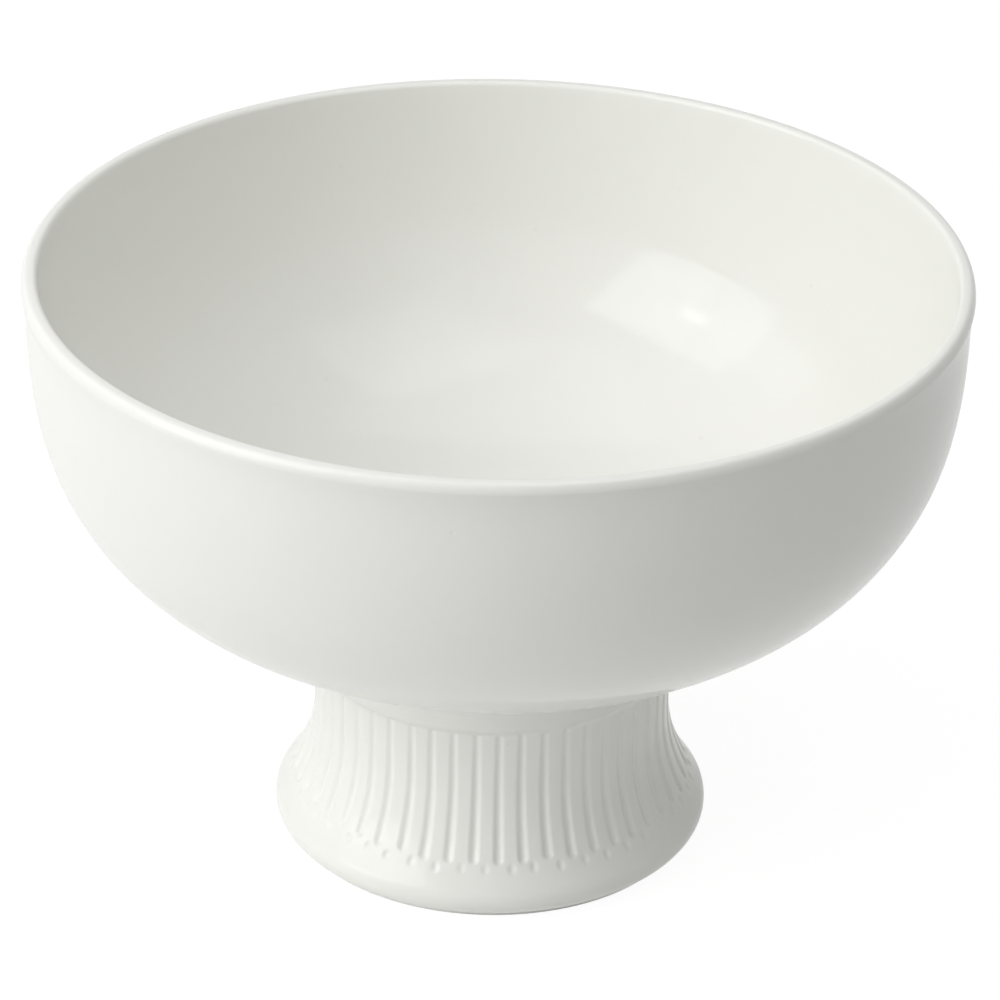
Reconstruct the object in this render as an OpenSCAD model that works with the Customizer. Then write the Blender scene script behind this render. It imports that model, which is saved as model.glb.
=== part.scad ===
// Footed compote bowl: a deep round bowl luted onto a hollow, fluted pedestal foot.
// Millimetres, +Z up. The origin is on the axis, at the surface that the foot ring stands on.

/* [Bowl] */
// Diameter over the bead of the rim
rim_d = 250; // [200:1:310]
// Height of the bowl, from the outside of its bottom to the top of the rim
bowl_h = 104.5; // [84:0.5:130]
// Thickness of the side wall
wall_t = 3.6; // [2.8:0.1:5]
// Thickness of the bottom
floor_t = 6; // [4.5:0.5:9]
// How far the rim bead stands out from the side wall
bead_proud = 0.7; // [0.3:0.1:1.2]

/* [Seat ring under the bowl] */
// How far the seat ring stands out past the shaft of the foot
seat_overhang = 1.2; // [0.6:0.1:3]
// Drop of the seat ring below the outside of the bowl's bottom
seat_drop = 9; // [6:0.5:14]
// Rounding of the seat ring's lower outer edge
seat_edge_r = 0.9; // [0.4:0.1:1.6]

/* [Slip joint] */
// Thickness of the slip between the seat ring and the foot
slip_t = 0.5; // [0.3:0.1:1]
// Radius of the bead of slip squeezed out inside the joint
slip_bead_r = 1.6; // [0.8:0.1:2.4]
// How far the slip stays back from the outside of the foot
slip_inset = 0.4; // [0.2:0.1:1]

/* [Foot] */
// Height of the foot
foot_h = 53; // [47:0.5:64]
// Diameter of the straight shaft over its lands
shaft_d = 97; // [78:0.5:120]
// Thickness of the foot's wall
foot_wall_t = 4.5; // [3.6:0.1:6]
// Height at which the shaft begins to flare
flare_z = 38.3; // [34:0.1:42]
// Radius of the hollow curve of the flare
flare_r = 47.5; // [44:0.5:56]
// Radius of the roll round the base
roll_r = 5.4; // [4.4:0.1:6.6]
// Height of the foot ring that shows below the roll
ring_h = 0.9; // [0.5:0.1:1.5]
// Width of the foot ring where it stands on the surface
ring_w = 4.6; // [3:0.1:6]
// Rounding of the foot ring's edges
ring_edge_r = 0.5; // [0.3:0.1:0.8]

/* [Flutes] */
// Number of flutes round the foot
flute_n = 50; // [36:2:54]
// Width of a flute
flute_w = 2.5; // [1.8:0.1:3]
// Depth of the flutes
flute_depth = 0.9; // [0.5:0.1:1.1]
// Gap in height between the flutes' lower end and the centres of the dots
flute_gap = 1.2; // [0.8:0.1:8]
// Height of the centres of the dots above the top of the roll
dot_rise = 4.6; // [2.4:0.1:6]
// Radius of the ball that pressed the dots
dot_r = 1.5; // [1:0.1:1.8]
// Depth of the dots
dot_depth = 0.6; // [0.3:0.1:0.8]

/* [Hidden] */
$fn = 144;

// Exponents of the bowl's outline: the first acts across, the second acts down
across_power = 2.2;
down_power = 3.12;
// Numbers of straight steps in the outlines
bowl_steps = 36;
bead_steps = 15;
flare_steps = 8;
roll_steps = 9;
flute_steps = 6;
edge_steps = 3;
// Angles at which the rim bead starts on the outside wall, and at which the roll ends on the foot ring
bead_start = -45;
roll_end = -75;
// Overrun of a cut past the face that it opens
overrun = 1;

// Heights, from the surface up
seat_z = foot_h + slip_t;
bowl_z = seat_z + seat_drop;
rim_z = bowl_z + bowl_h;

// Half sections of the bowl's wall
outer_r = rim_d / 2 - bead_proud;
inner_r = outer_r - wall_t;
inner_h = bowl_h - floor_t;
bead_r = (rim_d / 2 - inner_r) / 2;

// Radii of the foot and of the seat ring that fits it
shaft_r = shaft_d / 2;
hollow_r = shaft_r - foot_wall_t;
seat_r = shaft_r + seat_overhang;
flare_axis_r = shaft_r + flare_r;
roll_z = ring_h + roll_r;
flare_turn = asin((flare_z - roll_z) / (flare_r + roll_r));
roll_axis_r = flare_axis_r - (flare_r + roll_r) * cos(flare_turn);
ring_outer_r = roll_axis_r + roll_r * cos(roll_end);
ring_inner_r = ring_outer_r - ring_w;
hollow_flare_r = flare_r + foot_wall_t;
hollow_turn = acos((flare_axis_r - ring_inner_r) / hollow_flare_r);

// Heights of the top of the roll, where the flare runs into it, of the dots and of the flutes' lower end
roll_top_z = flare_z - flare_r * sin(flare_turn);
dot_z = roll_top_z + dot_rise;
flute_end_z = dot_z + flute_gap;

// Outer radius of the slip joint, inside the bottoms of the flutes
slip_outer_r = shaft_r - flute_depth - slip_inset;

// Points of an arc round (x, y), from one angle to another
function arc(x, y, r, from, to, steps) =
    [for (i = [0:steps]) let (a = from + (to - from) * i / steps) [x + r * cos(a), y + r * sin(a)]];

// Radius of the bowl's outline at an angle that runs from 0 at the rim to 90 at the bottom
function outline_r(r, a) = r * pow(cos(a), 2 / across_power);

// Height of the bowl's outline at that angle
function outline_z(h, a) = rim_z - h * pow(sin(a), 2 / down_power);

// Height of the bowl's outside above the surface at a radius
function underside_z(r) = rim_z - bowl_h * pow(1 - pow(r / outer_r, across_power), 1 / down_power);

// Outline of a wall of the bowl, from the rim down to the axis, below the bead
function wall_points(r, h) =
    [for (i = [1:bowl_steps])
        let (a = 90 * i / bowl_steps)
        if (outline_z(h, a) < rim_z - 2 * bead_r) [i == bowl_steps ? 0 : outline_r(r, a), outline_z(h, a)]];

function reversed(points) = [for (i = [len(points) - 1:-1:0]) points[i]];

// Underside of the bowl: the bottom, the seat ring that stands down from it, and the side wall
function underside_points() =
    let (side = reversed(wall_points(outer_r, bowl_h)))
    concat(
        [for (p = side) if (p[0] < hollow_r) p],
        [[hollow_r, underside_z(hollow_r)], [hollow_r, seat_z]],
        arc(seat_r - seat_edge_r, seat_z + seat_edge_r, seat_edge_r, -90, 0, edge_steps),
        [[seat_r, underside_z(seat_r)]],
        [for (p = side) if (p[0] > seat_r) p]
    );

// The bowl, its rounded rim bead and its seat ring are thrown in one piece
module bowl() {
    color("ivory")
        rotate_extrude()
            polygon(concat(
                underside_points(),
                [[outer_r, rim_z - 2 * bead_r]],
                arc(rim_d / 2 - bead_r, rim_z - bead_r, bead_r, bead_start, 180, bead_steps),
                [[inner_r, rim_z - 2 * bead_r]],
                wall_points(inner_r, inner_h)
            ));
}

// Layer of slip that joins the seat ring to the foot, with the bead squeezed out inside
module slip_joint() {
    color("gainsboro")
        rotate_extrude()
            polygon(concat(
                [[slip_outer_r, foot_h], [slip_outer_r, seat_z], [hollow_r, seat_z]],
                arc(hollow_r, foot_h + slip_t / 2, slip_bead_r, 90, 270, bead_steps),
                [[hollow_r, foot_h]]
            ));
}

// Outline of the foot without its flutes
function foot_points() =
    concat(
        [[hollow_r, foot_h], [shaft_r, foot_h]],
        reversed(arc(flare_axis_r, flare_z, flare_r, 180 + flare_turn, 180, flare_steps)),
        arc(roll_axis_r, roll_z, roll_r, flare_turn, roll_end, roll_steps),
        arc(ring_outer_r - ring_edge_r, ring_edge_r, ring_edge_r, 0, -90, edge_steps),
        arc(ring_inner_r + ring_edge_r, ring_edge_r, ring_edge_r, -90, -180, edge_steps),
        arc(flare_axis_r, flare_z, hollow_flare_r, 180 + hollow_turn, 180, flare_steps)
    );

// Cutter of one flute, an even depth below the shaft and the flare, with a square lower end
module flute_cutter() {
    path_r = flare_r + flute_depth;
    outside_r = flare_r - overrun;
    turn = asin((flare_z - flute_end_z) / path_r);
    rotate([90, 0, 0])
        linear_extrude(height = flute_w, center = true)
            polygon(concat(
                [[flare_axis_r - path_r, foot_h + overrun]],
                arc(flare_axis_r, flare_z, path_r, 180, 180 + turn, flute_steps),
                arc(flare_axis_r, flare_z, outside_r, 180 + turn, 180, flute_steps),
                [[flare_axis_r - outside_r, foot_h + overrun]]
            ));
}

// Ball that presses one dot into the flare
module dot_punch() {
    path_r = flare_r - dot_r + dot_depth;
    turn = asin((flare_z - dot_z) / path_r);
    translate([flare_axis_r - path_r * cos(turn), 0, dot_z])
        sphere(r = dot_r);
}

// Hollow pedestal foot, open below, with its flutes and the dots under the lands
module foot() {
    pitch = 360 / flute_n;
    color("whitesmoke")
        difference() {
            rotate_extrude()
                polygon(foot_points());
            for (i = [0:flute_n - 1]) {
                rotate([0, 0, (i + 1 / 2) * pitch])
                    flute_cutter();
                rotate([0, 0, i * pitch])
                    dot_punch();
            }
        }
}

bowl();
slip_joint();
foot();
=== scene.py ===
import math
import random

import bpy
import numpy as np
from mathutils import Matrix, Vector


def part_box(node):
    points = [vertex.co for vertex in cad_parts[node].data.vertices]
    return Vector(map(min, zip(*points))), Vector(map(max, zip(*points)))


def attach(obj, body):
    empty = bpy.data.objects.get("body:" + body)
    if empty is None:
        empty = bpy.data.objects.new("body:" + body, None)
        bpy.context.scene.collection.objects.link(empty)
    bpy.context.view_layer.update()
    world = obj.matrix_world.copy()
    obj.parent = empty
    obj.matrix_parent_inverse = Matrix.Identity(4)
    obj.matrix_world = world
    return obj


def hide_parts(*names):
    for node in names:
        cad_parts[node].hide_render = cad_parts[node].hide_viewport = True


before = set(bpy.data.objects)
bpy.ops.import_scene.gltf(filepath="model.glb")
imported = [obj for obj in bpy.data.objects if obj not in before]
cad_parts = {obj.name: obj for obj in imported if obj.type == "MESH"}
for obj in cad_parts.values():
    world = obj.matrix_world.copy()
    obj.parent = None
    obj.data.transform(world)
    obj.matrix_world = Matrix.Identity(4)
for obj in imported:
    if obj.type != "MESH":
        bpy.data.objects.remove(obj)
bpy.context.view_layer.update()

# Footed compote bowl, in metres, +Z up: the glazed bowl, the fluted foot and the slip joint, in a studio
MM = 0.001

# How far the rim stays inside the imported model's box
RIM_INSET = 0.09 * MM

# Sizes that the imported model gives
RIM_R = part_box("bowl")[1][1] - RIM_INSET
RIM_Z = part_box("bowl")[1][2]
SEAT_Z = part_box("bowl")[0][2]
FOOT_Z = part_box("foot")[1][2]
JOINT_LOW_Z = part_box("slip_joint")[0][2]
JOINT_HIGH_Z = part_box("slip_joint")[1][2]

# Bowl: walls and outline powers
BOWL_H = 104.5 * MM
WALL = 3.6 * MM
BOTTOM = 6 * MM
ACROSS_POWER = 2.2
DOWN_POWER = 3.12

# Rim: the lip's inner round, its nearly level top, and the two rounds of the shoulder that follow it
BEAD_PROUD = 0.7 * MM
LIP_R = 1.2 * MM
LIP_FLAT = 1.4 * MM
LIP_SLOPE = math.radians(84)
SHOULDER_R = 1.3 * MM
SHOULDER_END = math.radians(35)
SHOULDER_RUN_R = 4.1 * MM
# Points of the wall just below the shoulder, as insets from the rim's radius and drops from its top
RUN_POINTS = ((0.42 * MM, 5.2 * MM), (0.08 * MM, 3.7 * MM))
# Drop from the rim's top at which the plain outside wall ends
RIM_DROP = 9 * MM
# How far the lip leans in, on which side, and over what width and height
LIP_LEAN = 0.55 * MM
LIP_LEAN_AT = math.radians(35)
LIP_LEAN_W = 2.6 * MM
LIP_LEAN_H = 3 * MM
# Radii of the side wall's two faces
OUTER_R = RIM_R - BEAD_PROUD
INNER_R = OUTER_R - WALL

# Seat ring, and the bead of glaze that has gathered above it
SEAT_R = 49.7 * MM
SEAT_FILLET = 2.2 * MM
SEAT_EDGE_R = 0.4 * MM
GLAZE_BEAD_Z = 59.2 * MM
GLAZE_BEAD_H = 0.65 * MM
GLAZE_BEAD_PROUD = 0.45 * MM
# Its unevenness: a steady share, then waves by size, number round the axis, phase, sway and sways
GLAZE_BEAD_SHARE = 0.5
GLAZE_BEAD_WAVES = ((0.3, 41, 0, 2, 5), (0.2, 67, 1.7, 3, 3))
# Top of the part where the bowl's rows lie close, and their spacing there
COLLAR_TOP_Z = GLAZE_BEAD_Z + 3 * MM
COLLAR_GAP = 0.35 * MM

# Waviness of the bowl's walls: size in mm, waves round the axis, radians a metre up and out, and phase
WALL_WAVES = (
    (0.05, 3, 60, 0, 0.7),
    (0.035, 5, -90, 0, 2.1),
    (0.03, 2, 0, 210, 1.3),
    (0.02, 9, 140, 0, 0),
)
# About the waves' largest sum, which is taken off them, the radius where they start, and their fading
WAVE_OFFSET = 0.13
WAVE_START_R = 1.1 * SEAT_R
WAVE_SEAT_FADE = 20 * MM
WAVE_RIM_FADE = 12 * MM

# Foot: shaft, flare, roll and foot ring
SHAFT_R = 48.5 * MM
FOOT_WALL = 4.5 * MM
HOLLOW_R = SHAFT_R - FOOT_WALL
FLARE_Z = 38.3 * MM
FLARE_R = 47.5 * MM
ROLL_R = 5.4 * MM
RING_H = 0.9 * MM
RING_W = 4.6 * MM
ROLL_END = math.radians(-75)
# Top of the foot, which spreads under the joint: insets from the seat ring's radius, drops from the top
TOP_POINTS = ((0.25 * MM, 0), (0.75 * MM, 0.5 * MM))
TOP_DROP = 1.5 * MM
# Height below which the foot is a plain roll, and how far in from the shaft its outside may lie
ROLL_TOP_Z = 8 * MM
SHAFT_SLACK = 0.5 * MM
# The least outward share of its normal that a point of the foot's outside has
OUTWARD = 0.2

# Fluting
FLUTE_N = 50
FLUTE_HALF_W = 1.55 * MM
FLUTE_DEPTH = 0.7 * MM
FLUTE_TOP_SHARE = 0.72
FLUTE_TOP_GAP = 0.3 * MM
FLUTE_FADE = 1.5 * MM
FLUTE_END_Z = 16.6 * MM
DOT_Z = 14.2 * MM
DOT_HALF_W = 1.3 * MM
DOT_HALF_H = 1.85 * MM
DOT_DEPTH = 0.36 * MM
# Spacing of the foot's rows outside a radius: along the flutes, and below a height round their ends
FLUTE_ROWS_R = SHAFT_R - 0.2 * MM
FLUTE_GAP = 1.6 * MM
DOT_GAP = 0.45 * MM
DOT_GAP_TOP_Z = 20 * MM

# Joint: how far its outside stays within the seat ring, and how it laps over the foot and into the ring
JOINT_INSET = 0.08 * MM
JOINT_LAP_DOWN = 0.9 * MM
JOINT_EDGE_INSET = 0.35 * MM
JOINT_EDGE_DROP = 0.25 * MM
JOINT_EDGE_RISE = 0.1 * MM
JOINT_LAP_UP = 0.5 * MM
JOINT_HOLLOW_LAP = 0.3 * MM
# Swell of its bead, in rows like the walls' waves, how much is taken off it, and where it begins
JOINT_WAVES = ((0.18, 4, 0, 0, 0.4), (0.12, 11, 0, 0, 1.9), (0.08, 23, 0, 0, 0))
JOINT_WAVE_OFFSET = 0.4
JOINT_SWELL_R = HOLLOW_R - 0.1 * MM

# Outlines: step and radius of the softening, then the most turn and gap between the rows that are kept
BOWL_SOFTEN = (0.2 * MM, 0.35 * MM)
BOWL_ROWS = (math.radians(4), 2.4 * MM)
FOOT_SOFTEN = (0.15 * MM, 0.28 * MM)
FOOT_ROWS = (math.radians(7), 3.0 * MM)
JOINT_SOFTEN = (0.08 * MM, 0.16 * MM)
JOINT_ROWS = (math.radians(9), MM)
# Steps of the outlines' curves before the softening
WALL_STEPS = 160
SEAT_EDGE_STEPS = 6
LIP_STEPS = 14
SHOULDER_STEPS = 10
FOOT_STEPS = 40
BEAD_STEPS = 16

# Mesh: columns round the bowl, the joint and each flute
BOWL_COLUMNS = 400
JOINT_COLUMNS = 400
FLUTE_COLUMNS = 16

# Materials. A noise has its features a metre, detail and roughness, a bump its height and strength,
# and colours their places along the noise
NOISE_SPAN = (0.3, 0.7)

# Glaze: clouding, gloss, and the orange peel of its surface
CLOUD_NOISE = (14, 3, 0.55)
CLOUD_COLOURS = ((0.3, (0.856, 0.859, 0.818)), (0.7, (0.864, 0.866, 0.829)))
GLAZE_ROUGH_NOISE = (40, 2)
GLAZE_ROUGH = (0.33, 0.37)
GLAZE_IOR = 1.5
GLAZE_SPECULAR = 0.03
GLAZE_COAT = 0.45
GLAZE_COAT_ROUGH = 0.05
FINE_PEEL_NOISE = (420, 1.5, 0.4)
FINE_PEEL_BUMP = (0.06 * MM, 0.35)
BROAD_PEEL_NOISE = (110, 1, 0.4)
BROAD_PEEL_BUMP = (0.22 * MM, 0.3)

# Pinholes of the glaze: cells a metre, a pinhole's radii in cells, and the noise that keeps only a few
PINHOLE_SCALE = 130
PINHOLE_EDGE = (0.05, 0.11)
PINHOLE_NOISE = (55, 1)
PINHOLE_NOISE_SPAN = (0.60, 0.66)
PINHOLE_COLOUR = (0.60, 0.58, 0.53)
PINHOLE_STRENGTH = 0.12
PINHOLE_BUMP = (0.1 * MM, 0.8)

# Bare clay, below a height, and slip
CLAY_TOP_Z = 0.25 * MM
CLAY_NOISE = (900, 4, 0.7)
CLAY_COLOURS = ((0.3, (0.60, 0.56, 0.49)), (0.7, (0.72, 0.69, 0.62)))
CLAY_ROUGH = 0.85
CLAY_BUMP = (0.12 * MM, 0.6)
SLIP_NOISE = (160, 3, 0.6)
SLIP_COLOURS = ((0.35, (0.80, 0.80, 0.755)), (0.7, (0.84, 0.84, 0.80)))
SLIP_ROUGH = (0.5, 0.4)
SLIP_BUMP = (0.3 * MM, 0.5)

# Camera: angle and distance from the middle of the rim, the point it looks at, its roll and its lens
CAMERA_ELEVATION = math.radians(25.178)
CAMERA_DISTANCE = 1.2967
CAMERA_AIM = (0.00136, 0, 0.0968)
CAMERA_ROLL = math.radians(0.983)
CAMERA_SENSOR = 36
CAMERA_LENS = 177.89
CAMERA_REACH = 20

# Turn of the camera and the lamps together about the axis
STUDIO_TURN = math.radians(0.95)

# Fill light, and the floor: paper out to one radius, a greyer table from the other
FILL_STRENGTH = 0.34
FLOOR_SIZE = 8
PAPER_R = 0.22
PAPER_BOUNCE = 0.88
TABLE_R = 0.6
TABLE_BOUNCE = 0.45
FLOOR_GLOW = 0.93
FLOOR_SHADE = 0.12

# Lamps: name, place and size in metres, power in watts
LAMP_AIM = (0, 0, 0.1)
LAMPS = (
    ("key_softbox", (-1.41, -0.75, 1.13), (1.5, 1.5), 13.8),
    ("key_near_part", (-1.21, -1.036, 1.161), (0.9, 1.2), 4.4),
    ("key_wing", (-1.72, -0.018, 1.203), (1.4, 0.7), 2.3),
    ("key_core", (-1.34, -0.647, 1.187), (0.24, 0.16), 0.5),
    ("low_left_softbox", (-1.6, -0.7, 0.34), (1.0, 0.4), 3.7),
    ("top_softbox", (0, 0.1, 1.9), (1.4, 1.4), 4.8),
    ("top_right_softbox", (0.5, -0.45, 1.8), (1.2, 1.2), 5.1),
)


def arc(x, y, r, start, end, steps):
    """Points of an arc round (x, y)."""
    angles = np.linspace(start, end, steps + 1)
    return [(x + r * math.cos(a), y + r * math.sin(a)) for a in angles]


def wall_curve(radius, height):
    """Outline of a wall of the bowl from its rim to the axis."""
    points = []
    for a in np.linspace(0, math.pi / 2, WALL_STEPS + 1):
        c = max(math.cos(a), 0.0)
        drop = height * math.sin(a) ** (2 / DOWN_POWER)
        points.append((radius * c ** (2 / ACROSS_POWER), RIM_Z - drop))
    return points


def underside_z(r):
    """Height of the bowl's outside at a radius."""
    return RIM_Z - BOWL_H * (1 - (r / OUTER_R) ** ACROSS_POWER) ** (1 / DOWN_POWER)


def run_length(p):
    """Length along an outline up to each of its points."""
    return np.concatenate([[0], np.cumsum(np.linalg.norm(np.diff(p, axis=0), axis=1))])


def even_points(points, spacing, closed):
    """Points of an outline at even steps. A closed one leaves out its last point, which is its first."""
    p = np.array(points, float)
    length = run_length(p)
    count = int(length[-1] / spacing)
    even = np.linspace(0, length[-1], count if closed else count + 1, endpoint=not closed)
    return np.stack([np.interp(even, length, p[:, 0]), np.interp(even, length, p[:, 1])], 1)


def averaging(spacing, radius):
    """Weights of a running average over even steps, and how many steps it reaches each way."""
    reach = max(1, int(3 * radius / spacing))
    offsets = np.arange(-reach, reach + 1) * spacing
    weight = np.exp(-0.5 * (offsets / radius) ** 2)
    return weight / weight.sum(), reach


def averaged(points, weight):
    """The running average of both coordinates of an outline's points."""
    return np.stack([np.convolve(points[:, k], weight, mode="valid") for k in (0, 1)], 1)


def soften(points, spacing, radius):
    """Rounds every corner of an outline as a coat of glaze does: even steps, then a running average."""
    q = even_points(points, spacing, False)
    weight, reach = averaging(spacing, radius)
    # The ends lie on the axis, so the outline goes on there as its own mirror image
    flip = np.array([-1, 1])
    out = averaged(np.concatenate([q[reach:0:-1] * flip, q, q[-2 : -reach - 2 : -1] * flip]), weight)
    out[0, 0] = 0
    out[-1, 0] = 0
    return out


def soften_loop(points, spacing, radius):
    """As soften, for an outline that closes on itself."""
    q = even_points(points + points[:1], spacing, True)
    weight, reach = averaging(spacing, radius)
    return averaged(np.concatenate([q[-reach:], q, q[:reach]]), weight)


def thin(points, turn, gap, spacing_at=None):
    """Keeps the points that an outline's bends need, no further apart than gap or spacing_at says."""
    out = [points[0]]
    last = 0
    heading = None
    for i in range(1, len(points) - 1):
        step = points[i + 1] - points[i]
        now = math.atan2(step[1], step[0])
        if heading is None:
            heading = now
        bend = abs((now - heading + math.pi) % (2 * math.pi) - math.pi)
        away = np.linalg.norm(points[i] - points[last])
        limit = gap if spacing_at is None else spacing_at(points[i], gap)
        if bend > turn or away > limit:
            out.append(points[i])
            last = i
            heading = now
    out.append(points[-1])
    return np.array(out)


def normals_of(profile):
    """Unit normals of an outline, to the right of its direction of travel."""
    d = np.gradient(profile, axis=0)
    d /= np.maximum(np.linalg.norm(d, axis=1, keepdims=True), 1e-9)
    return np.stack([d[:, 1], -d[:, 0]], 1)


def add_object(name, data):
    """Adds an object to the scene."""
    made = bpy.data.objects.new(name, data)
    bpy.context.scene.collection.objects.link(made)
    return made


def faces_between(index, closed):
    """Faces from each row of a turned mesh to the next. At a pole two corners are one point."""
    count, columns = index.shape
    following = np.roll(np.arange(columns), -1)
    faces = []
    for a in range(count if closed else count - 1):
        b = (a + 1) % count
        for j in range(columns):
            ring = (index[a, j], index[a, following[j]], index[b, following[j]], index[b, j])
            faces.append(tuple(dict.fromkeys(int(v) for v in ring)))
    return faces


def lathe(name, profile, columns, relief, closed=False):
    """Turns an outline into a mesh. relief(angles, profile) is each point's push along its normal."""
    angles = np.arange(columns) * 2 * math.pi / columns
    normal = normals_of(profile)
    push = relief(angles, profile)
    r = profile[:, :1] + normal[:, :1] * push
    z = profile[:, 1:] + normal[:, 1:] * push
    grid = np.stack([r * np.cos(angles), r * np.sin(angles), z], 2)
    last = len(profile) - 1
    verts = []
    index = np.zeros((len(profile), columns), int)
    for i in range(len(profile)):
        pole = not closed and i in (0, last)
        if pole:
            index[i] = len(verts)
            verts.append((0.0, 0.0, float(z[i].mean())))
        else:
            index[i] = len(verts) + np.arange(columns)
            verts.extend(map(tuple, grid[i]))
    mesh = bpy.data.meshes.new(name)
    mesh.from_pydata(verts, [], faces_between(index, closed))
    mesh.validate()
    mesh.polygons.foreach_set("use_smooth", [True] * len(mesh.polygons))
    mesh.update()
    return add_object(name, mesh)


def near_collar(point, gap):
    """Spacing of the bowl's rows: close on the seat ring, where the glaze has gathered."""
    r, z = point
    return COLLAR_GAP if r > SEAT_R - MM and z < COLLAR_TOP_Z else gap


def seat_ring_points():
    """Outline of the seat ring, from the hollow under the bowl out to its side."""
    edge_r = SEAT_R - SEAT_EDGE_R
    points = [(HOLLOW_R, underside_z(HOLLOW_R)), (HOLLOW_R, SEAT_Z)]
    points += arc(edge_r, SEAT_Z + SEAT_EDGE_R, SEAT_EDGE_R, -math.pi / 2, 0, SEAT_EDGE_STEPS)
    points += [(SEAT_R, underside_z(SEAT_R) - SEAT_FILLET)]
    return points


def rim_points():
    """Outline of the rim: up its outside, over the shoulder and the level top, to the inner face."""
    run = [(RIM_R - inset, RIM_Z - drop) for inset, drop in RUN_POINTS]
    lip = arc(INNER_R + LIP_R, RIM_Z - LIP_R, LIP_R, LIP_SLOPE, math.pi, LIP_STEPS)
    flat_end_r = lip[0][0] + LIP_FLAT * math.sin(LIP_SLOPE)
    flat_end_z = lip[0][1] - LIP_FLAT * math.cos(LIP_SLOPE)
    turn_r = flat_end_r - SHOULDER_R * math.cos(LIP_SLOPE)
    turn_z = flat_end_z - SHOULDER_R * math.sin(LIP_SLOPE)
    shoulder = arc(turn_r, turn_z, SHOULDER_R, SHOULDER_END, LIP_SLOPE, SHOULDER_STEPS)
    reach = SHOULDER_RUN_R - SHOULDER_R
    low_r = turn_r - reach * math.cos(SHOULDER_END)
    low_z = turn_z - reach * math.sin(SHOULDER_END)
    low = arc(low_r, low_z, SHOULDER_RUN_R, 0, SHOULDER_END, SHOULDER_STEPS)
    return run + low[:-1] + shoulder + lip


def bowl_profile():
    """Outline of the bowl: up its outside from the axis, over the rim and down its inside."""
    outside = [p for p in reversed(wall_curve(OUTER_R, BOWL_H)) if p[1] < RIM_Z - RIM_DROP]
    under = [p for p in outside if p[0] < HOLLOW_R]
    side = [p for p in outside if p[0] > SEAT_R + SEAT_FILLET / 2]
    inner_top = RIM_Z - (RIM_R - INNER_R)
    inside = [p for p in wall_curve(INNER_R, BOWL_H - BOTTOM) if p[1] < inner_top]
    points = under + seat_ring_points() + side + rim_points() + inside
    points[0] = (0.0, points[0][1])
    points[-1] = (0.0, points[-1][1])
    return thin(soften(points, *BOWL_SOFTEN), *BOWL_ROWS, near_collar)


def foot_profile():
    """Closed outline of the foot: down its inside, round the ring and the roll, and up its outside."""
    flare_axis = SHAFT_R + FLARE_R
    roll_z = RING_H + ROLL_R
    turn = math.asin((FLARE_Z - roll_z) / (FLARE_R + ROLL_R))
    roll_axis = flare_axis - (FLARE_R + ROLL_R) * math.cos(turn)
    ring_outer = roll_axis + ROLL_R * math.cos(ROLL_END)
    ring_inner = ring_outer - RING_W
    hollow_flare_r = FLARE_R + FOOT_WALL
    hollow_turn = math.acos((flare_axis - ring_inner) / hollow_flare_r)
    points = [(HOLLOW_R, FOOT_Z)]
    points += [(SEAT_R - inset, FOOT_Z - drop) for inset, drop in TOP_POINTS]
    points += [(SHAFT_R, FOOT_Z - TOP_DROP)]
    points += reversed(arc(flare_axis, FLARE_Z, FLARE_R, math.pi + turn, math.pi, FOOT_STEPS))
    points += arc(roll_axis, roll_z, ROLL_R, turn, ROLL_END, FOOT_STEPS)
    points += [(ring_outer, 0), (ring_inner, 0)]
    points += arc(flare_axis, FLARE_Z, hollow_flare_r, math.pi + hollow_turn, math.pi, FOOT_STEPS)
    return points[::-1]


def dome(d):
    """Depth of a pressed mark, from 1 in its middle to 0 at its edge."""
    x = np.clip(1 - d * d, 0, 1)
    return x * np.sqrt(x)


def flute_growth(z):
    """Share of their full size that the flutes have at a height: all of it at their lower ends."""
    fall = min(1.0, max(0.0, (FOOT_Z - z) / (FOOT_Z - FLUTE_END_Z)))
    return FLUTE_TOP_SHARE + (1 - FLUTE_TOP_SHARE) * fall


def flute_fade(z):
    """1 along the flutes, falling to 0 where the glaze of the joint has filled their upper ends."""
    x = min(1.0, max(0.0, (FOOT_Z - FLUTE_TOP_GAP - z) / FLUTE_FADE))
    return x * x * (3 - 2 * x)


# Unevenness of each flute and dot: places and lengths in metres, strengths as factors
draw = random.Random(7)
FLUTE_SHIFT = [draw.gauss(0, 0.16) * MM for _ in range(FLUTE_N)]
FLUTE_STRETCH = [draw.gauss(0, 0.35) * MM for _ in range(FLUTE_N)]
FLUTE_STRENGTH = [1 + draw.gauss(0, 0.08) for _ in range(FLUTE_N)]
DOT_SHIFT = [draw.gauss(0, 0.3) * MM for _ in range(FLUTE_N)]
DOT_LIFT = [draw.gauss(0, 0.2) * MM for _ in range(FLUTE_N)]
DOT_STRENGTH = [1 + draw.gauss(0, 0.15) for _ in range(FLUTE_N)]


def columns_near(angles, step):
    """Columns within one pitch of a mark, and their angles from it. Step 0 is at -Y."""
    pitch = 2 * math.pi / FLUTE_N
    centre = -math.pi / 2 + step * pitch
    away = (angles - centre + math.pi) % (2 * math.pi) - math.pi
    near = np.where(abs(away) < pitch)[0]
    return near, away[near]


def flute_depth(k, x, y, z):
    """Depth of flute k at distances x from its middle and y past its lower end, at a height."""
    size = flute_growth(z)
    depth = FLUTE_DEPTH * size * size * FLUTE_STRENGTH[k] * flute_fade(z)
    return depth * dome(np.sqrt((x / (FLUTE_HALF_W * size)) ** 2 + (y / FLUTE_HALF_W) ** 2))


def dot_depth(k, x, y):
    """Depth of dot k at distances x and y from its middle."""
    return DOT_DEPTH * DOT_STRENGTH[k] * dome(np.sqrt((x / DOT_HALF_W) ** 2 + (y / DOT_HALF_H) ** 2))


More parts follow.
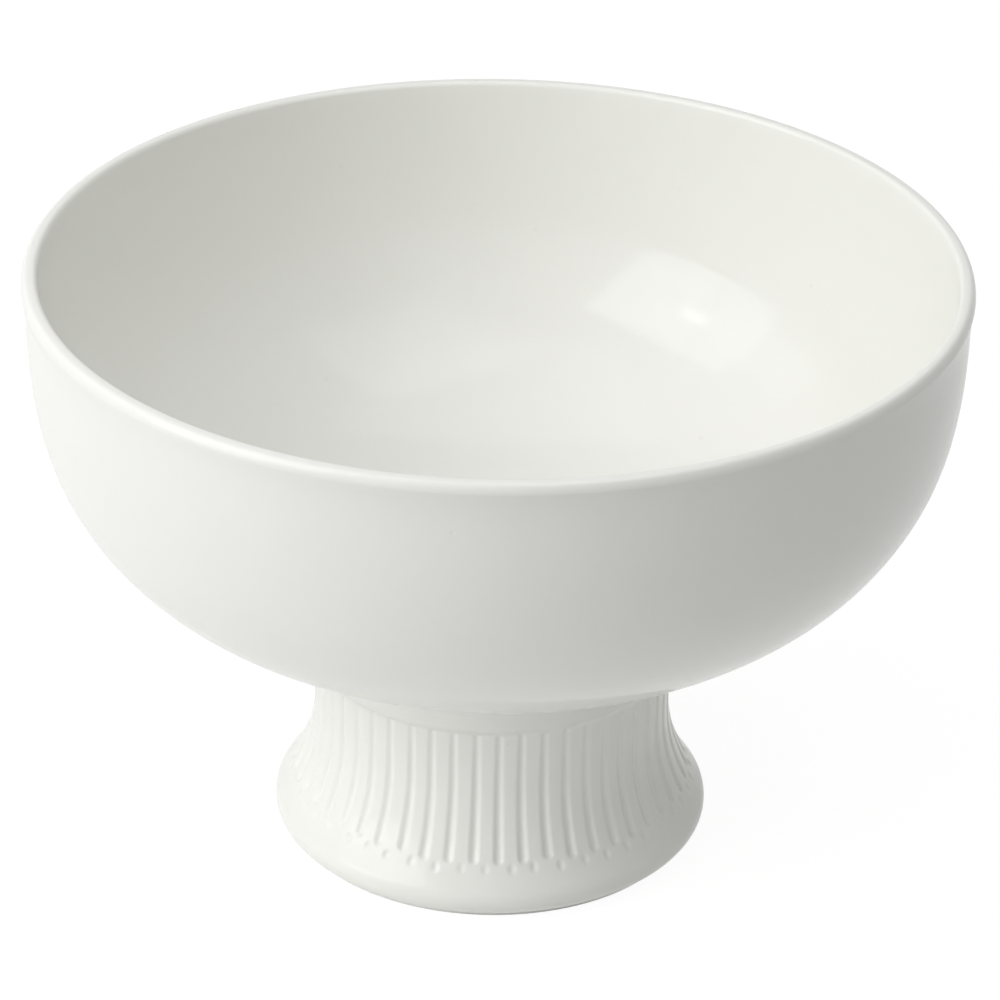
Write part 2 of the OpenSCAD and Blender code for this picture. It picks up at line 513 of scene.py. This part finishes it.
def foot_relief(angles, profile):
    """Flutes and dots of the foot's outside, as pushes along its normal."""
    length = run_length(profile)
    r, z = profile.T
    outside = (normals_of(profile)[:, 0] > OUTWARD) & (r > SHAFT_R - SHAFT_SLACK) & (z > ROLL_TOP_Z)
    rows = np.where(outside)[0]
    flute_end = np.interp(FLUTE_END_Z, z[rows], length[rows])
    dot_at = np.interp(DOT_Z, z[rows], length[rows])
    push = np.zeros((len(profile), len(angles)))
    for k in range(FLUTE_N):
        near, away = columns_near(angles, k + 0.5)
        for i in rows:
            x = away * r[i] + FLUTE_SHIFT[k]
            y = max(0.0, flute_end - FLUTE_STRETCH[k] - length[i])
            push[i, near] -= flute_depth(k, x, y, z[i])
        near, away = columns_near(angles, k)
        for i in rows:
            x = away * r[i] + DOT_SHIFT[k]
            y = length[i] - dot_at - DOT_LIFT[k]
            push[i, near] -= dot_depth(k, x, y)
    return push


def waves(rows, a, z=0, r=0):
    """Sum of the sine waves of a table at an angle, a height and a radius, in millimetres."""
    return sum(size * np.sin(n * a + up * z + out * r + phase) for size, n, up, out, phase in rows)


def bowl_relief(angles, profile):
    """Faint waviness of the walls, the lean of the lip, and the uneven glaze bead over the seat ring."""
    a = angles[None, :]
    z = profile[:, 1:]
    r = profile[:, :1]
    lip_end = INNER_R + LIP_R + LIP_FLAT
    wave = waves(WALL_WAVES, a, z, r) - WAVE_OFFSET
    fade = np.clip((r - WAVE_START_R) / WAVE_SEAT_FADE, 0, 1) * np.clip((RIM_Z - z) / WAVE_RIM_FADE, 0, 1)
    lean = np.clip(np.cos(a + LIP_LEAN_AT), 0, 1) ** 2 * np.clip((lip_end - r) / LIP_LEAN_W, 0, 1)
    lean = lean * np.clip((z - RIM_Z + LIP_LEAN_H) / LIP_LEAN_H, 0, 1)
    ripple = GLAZE_BEAD_SHARE
    for size, n, phase, sway, sways in GLAZE_BEAD_WAVES:
        ripple = ripple + size * np.sin(n * a + phase + sway * np.sin(sways * a))
    gathered = np.exp(-(((z - GLAZE_BEAD_Z) / GLAZE_BEAD_H) ** 2)) * (abs(r - SEAT_R) < MM)
    return wave * MM * fade + GLAZE_BEAD_PROUD * ripple * gathered - LIP_LEAN * lean


def near_flutes(point, gap):
    """Spacing of the foot's rows: close along the flutes, closest round their ends and the dots."""
    r, z = point
    if r < FLUTE_ROWS_R or z < ROLL_TOP_Z:
        return gap
    return DOT_GAP if z < DOT_GAP_TOP_Z else FLUTE_GAP


def node(tree, kind, **settings):
    """Adds a node with some of its properties set."""
    made = tree.nodes.new(kind)
    for key, value in settings.items():
        setattr(made, key, value)
    return made


def new_material(name):
    """A material with its node tree and its main shader."""
    material = bpy.data.materials.new(name)
    material.use_nodes = True
    tree = material.node_tree
    shader = tree.nodes["Principled BSDF"]
    return material, tree, shader


def noise(tree, place, scale, detail, rough=0.5):
    """Noise in the piece's own coordinates, at a number of features a metre."""
    made = node(tree, "ShaderNodeTexNoise")
    made.inputs["Scale"].default_value = scale
    made.inputs["Detail"].default_value = detail
    made.inputs["Roughness"].default_value = rough
    tree.links.new(place.outputs["Object"], made.inputs["Vector"])
    return made.outputs["Fac"]


def ramp(tree, source, stops):
    """Colours a value by stops, each with a position and a colour."""
    made = node(tree, "ShaderNodeValToRGB")
    elements = made.color_ramp.elements
    for k, (at, colour) in enumerate(stops):
        e = elements[k] if k < 2 else elements.new(at)
        e.position = at
        e.color = (*colour, 1)
    tree.links.new(source, made.inputs["Fac"])
    return made.outputs["Color"]


def spread(tree, source, low, high, to_low, to_high):
    """Maps a value from one range to another."""
    made = node(tree, "ShaderNodeMapRange")
    for key, value in (("From Min", low), ("From Max", high), ("To Min", to_low), ("To Max", to_high)):
        made.inputs[key].default_value = value
    tree.links.new(source, made.inputs["Value"])
    return made.outputs["Result"]


def mix_colour(tree, factor, first, second):
    """Mixes a fixed colour into another."""
    made = node(tree, "ShaderNodeMix", data_type="RGBA")
    # The colours go into sockets 6 and 7, and the mixed colour comes out of socket 2
    tree.links.new(factor, made.inputs[0])
    tree.links.new(first, made.inputs[6])
    made.inputs[7].default_value = (*second, 1)
    return made.outputs[2]


def bump(tree, height, distance, strength, under=None):
    """Normal of a bumpy surface, on top of another one's if that is given."""
    made = node(tree, "ShaderNodeBump")
    made.inputs["Distance"].default_value = distance
    made.inputs["Strength"].default_value = strength
    tree.links.new(height, made.inputs["Height"])
    if under is not None:
        tree.links.new(under, made.inputs["Normal"])
    return made.outputs["Normal"]


def make_glaze():
    """White glaze: clouded very slightly and orange-peeled, with a few faint pinholes."""
    material, tree, shader = new_material("white_glaze")
    place = node(tree, "ShaderNodeTexCoord")
    cloud = ramp(tree, noise(tree, place, *CLOUD_NOISE), CLOUD_COLOURS)
    pits = node(tree, "ShaderNodeTexVoronoi", feature="F1")
    pits.inputs["Scale"].default_value = PINHOLE_SCALE
    tree.links.new(place.outputs["Object"], pits.inputs["Vector"])
    rare = spread(tree, noise(tree, place, *PINHOLE_NOISE), *PINHOLE_NOISE_SPAN, 0, 1)
    pit = node(tree, "ShaderNodeMath", operation="MULTIPLY")
    tree.links.new(spread(tree, pits.outputs["Distance"], *PINHOLE_EDGE, 1, 0), pit.inputs[0])
    tree.links.new(rare, pit.inputs[1])
    speck = node(tree, "ShaderNodeMath", operation="MULTIPLY")
    tree.links.new(pit.outputs[0], speck.inputs[0])
    speck.inputs[1].default_value = PINHOLE_STRENGTH
    colour = mix_colour(tree, speck.outputs[0], cloud, PINHOLE_COLOUR)
    tree.links.new(colour, shader.inputs["Base Color"])
    rough = spread(tree, noise(tree, place, *GLAZE_ROUGH_NOISE), *NOISE_SPAN, *GLAZE_ROUGH)
    tree.links.new(rough, shader.inputs["Roughness"])
    peel = bump(tree, noise(tree, place, *FINE_PEEL_NOISE), *FINE_PEEL_BUMP)
    peel = bump(tree, noise(tree, place, *BROAD_PEEL_NOISE), *BROAD_PEEL_BUMP, peel)
    dent = spread(tree, pit.outputs[0], 0, 1, 1, 0)
    tree.links.new(bump(tree, dent, *PINHOLE_BUMP, peel), shader.inputs["Normal"])
    shader.inputs["IOR"].default_value = GLAZE_IOR
    shader.inputs["Specular IOR Level"].default_value = GLAZE_SPECULAR
    shader.inputs["Coat Weight"].default_value = GLAZE_COAT
    shader.inputs["Coat Roughness"].default_value = GLAZE_COAT_ROUGH
    return material


def make_bare_clay():
    """Unglazed fired clay of the foot ring: matt, fine-grained, a little warmer than the glaze."""
    material, tree, shader = new_material("bare_clay")
    place = node(tree, "ShaderNodeTexCoord")
    grain = noise(tree, place, *CLAY_NOISE)
    colour = ramp(tree, grain, CLAY_COLOURS)
    tree.links.new(colour, shader.inputs["Base Color"])
    tree.links.new(bump(tree, grain, *CLAY_BUMP), shader.inputs["Normal"])
    shader.inputs["Roughness"].default_value = CLAY_ROUGH
    return material


def make_slip():
    """Slip squeezed out of the joint and glazed thinly over: uneven and half matt."""
    material, tree, shader = new_material("slip_under_glaze")
    place = node(tree, "ShaderNodeTexCoord")
    blotch = noise(tree, place, *SLIP_NOISE)
    colour = ramp(tree, blotch, SLIP_COLOURS)
    tree.links.new(colour, shader.inputs["Base Color"])
    tree.links.new(spread(tree, blotch, *NOISE_SPAN, *SLIP_ROUGH), shader.inputs["Roughness"])
    tree.links.new(bump(tree, blotch, *SLIP_BUMP), shader.inputs["Normal"])
    return material


def make_bowl(glaze):
    """The bowl with its rim and its seat ring."""
    bowl = lathe("glazed_bowl", bowl_profile(), BOWL_COLUMNS, bowl_relief)
    bowl.data.materials.append(glaze)
    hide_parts("bowl")
    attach(bowl, "root")


def make_foot(glaze, clay):
    """The fluted foot, glazed but for the face that it stands on."""
    profile = thin(soften_loop(foot_profile(), *FOOT_SOFTEN), *FOOT_ROWS, near_flutes)
    foot = lathe("fluted_foot", profile, FLUTE_COLUMNS * FLUTE_N, foot_relief, closed=True)
    foot.data.materials.append(glaze)
    foot.data.materials.append(clay)
    for face in foot.data.polygons:
        if face.center.z < CLAY_TOP_Z:
            face.material_index = 1
    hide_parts("foot")
    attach(foot, "root")


def joint_relief(angles, profile):
    """Uneven swell of the squeezed-out bead."""
    inside = profile[:, :1] < JOINT_SWELL_R
    return (waves(JOINT_WAVES, angles[None, :]) - JOINT_WAVE_OFFSET) * MM * inside


def make_joint(slip):
    """The ring of slip between the foot and the seat ring, with its bead in the hollow."""
    outer_r = SEAT_R - JOINT_INSET
    middle = (FOOT_Z + SEAT_Z) / 2
    bead_r = (JOINT_HIGH_Z - JOINT_LOW_Z) / 2
    points = [(SHAFT_R, FOOT_Z - JOINT_LAP_DOWN)]
    points += [(outer_r - JOINT_EDGE_INSET, FOOT_Z - JOINT_EDGE_DROP)]
    points += [(outer_r, SEAT_Z + JOINT_EDGE_RISE), (outer_r, SEAT_Z + JOINT_LAP_UP)]
    points += [(HOLLOW_R, SEAT_Z + JOINT_HOLLOW_LAP)]
    points += arc(HOLLOW_R, middle, bead_r, math.pi / 2, 3 * math.pi / 2, BEAD_STEPS)
    profile = thin(soften_loop(points, *JOINT_SOFTEN), *JOINT_ROWS)
    joint = lathe("slip_bead", profile, JOINT_COLUMNS, joint_relief, closed=True)
    joint.data.materials.append(slip)
    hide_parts("slip_joint")
    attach(joint, "root")


def link_background_rays(tree, target):
    """Feeds 1 into a socket for camera rays and mirrored or refracted ones, which see the background."""
    paths = node(tree, "ShaderNodeLightPath")
    total = paths.outputs["Is Camera Ray"]
    for name in ("Is Glossy Ray", "Is Transmission Ray"):
        add = node(tree, "ShaderNodeMath", operation="MAXIMUM")
        tree.links.new(total, add.inputs[0])
        tree.links.new(paths.outputs[name], add.inputs[1])
        total = add.outputs[0]
    tree.links.new(total, target)


def make_world():
    """A white background, and from all round a weaker fill light on the bowl."""
    world = bpy.data.worlds.new("studio")
    bpy.context.scene.world = world
    world.use_nodes = True
    tree = world.node_tree
    tree.nodes.clear()
    out = node(tree, "ShaderNodeOutputWorld")
    mix = node(tree, "ShaderNodeMixShader")
    fill = node(tree, "ShaderNodeBackground")
    white = node(tree, "ShaderNodeBackground")
    fill.inputs["Color"].default_value = (1, 1, 1, 1)
    fill.inputs["Strength"].default_value = FILL_STRENGTH
    white.inputs["Color"].default_value = (1, 1, 1, 1)
    white.inputs["Strength"].default_value = 1.0
    link_background_rays(tree, mix.inputs[0])
    tree.links.new(fill.outputs[0], mix.inputs[1])
    tree.links.new(white.outputs[0], mix.inputs[2])
    tree.links.new(mix.outputs[0], out.inputs["Surface"])


def make_floor_material():
    """White to the camera but for the bowl's shadow. To other rays it is bright paper on a greyer table."""
    material = bpy.data.materials.new("white_floor")
    material.use_nodes = True
    tree = material.node_tree
    tree.nodes.clear()
    out = node(tree, "ShaderNodeOutputMaterial")
    mix = node(tree, "ShaderNodeMixShader")
    bounce = node(tree, "ShaderNodeBsdfDiffuse")
    place = node(tree, "ShaderNodeTexCoord")
    away = node(tree, "ShaderNodeVectorMath", operation="LENGTH")
    tree.links.new(place.outputs["Object"], away.inputs[0])
    paper = spread(tree, away.outputs["Value"], PAPER_R, TABLE_R, PAPER_BOUNCE, TABLE_BOUNCE)
    tree.links.new(paper, bounce.inputs["Color"])
    shown = node(tree, "ShaderNodeAddShader")
    glow = node(tree, "ShaderNodeEmission")
    glow.inputs["Strength"].default_value = FLOOR_GLOW
    shade = node(tree, "ShaderNodeBsdfDiffuse")
    shade.inputs["Color"].default_value = (FLOOR_SHADE, FLOOR_SHADE, FLOOR_SHADE, 1)
    tree.links.new(glow.outputs[0], shown.inputs[0])
    tree.links.new(shade.outputs[0], shown.inputs[1])
    link_background_rays(tree, mix.inputs[0])
    tree.links.new(bounce.outputs[0], mix.inputs[1])
    tree.links.new(shown.outputs[0], mix.inputs[2])
    tree.links.new(mix.outputs[0], out.inputs["Surface"])
    return material


def make_floor():
    """The square of level ground that the bowl stands on."""
    mesh = bpy.data.meshes.new("floor")
    s = FLOOR_SIZE / 2
    mesh.from_pydata([(-s, -s, 0), (s, -s, 0), (s, s, 0), (-s, s, 0)], [], [(0, 1, 2, 3)])
    mesh.materials.append(make_floor_material())
    add_object("floor", mesh)


def turned(place):
    """A place of the studio, which stands turned a little about the bowl's axis, to its flutes."""
    return Matrix.Rotation(STUDIO_TURN, 3, "Z") @ Vector(place)


def make_lamp(name, place, size, power):
    """A softbox that faces the bowl."""
    light = bpy.data.lights.new(name, "AREA")
    light.shape = "RECTANGLE"
    light.size, light.size_y = size
    light.energy = power
    lamp = add_object(name, light)
    lamp.location = turned(place)
    lamp.rotation_euler = (turned(LAMP_AIM) - turned(place)).to_track_quat("-Z", "Y").to_euler()


def make_camera():
    """The camera, placed and tilted to look at the bowl from the photograph's angle."""
    data = bpy.data.cameras.new("camera")
    camera = add_object("camera", data)
    back = CAMERA_DISTANCE * math.cos(CAMERA_ELEVATION)
    up = CAMERA_DISTANCE * math.sin(CAMERA_ELEVATION)
    place = turned((0, -back, RIM_Z + up))
    turn = (turned(CAMERA_AIM) - place).to_track_quat("-Z", "Y").to_matrix().to_4x4()
    roll = Matrix.Rotation(CAMERA_ROLL, 4, "Z")
    camera.matrix_world = Matrix.Translation(place) @ turn @ roll
    data.sensor_width = CAMERA_SENSOR
    data.lens = CAMERA_LENS
    data.clip_end = CAMERA_REACH
    bpy.context.scene.camera = camera


make_camera()
make_world()
make_floor()
for lamp in LAMPS:
    make_lamp(*lamp)

glaze = make_glaze()
make_bowl(glaze)
make_foot(glaze, make_bare_clay())
make_joint(make_slip())

bpy.context.scene.view_settings.view_transform = "Standard"
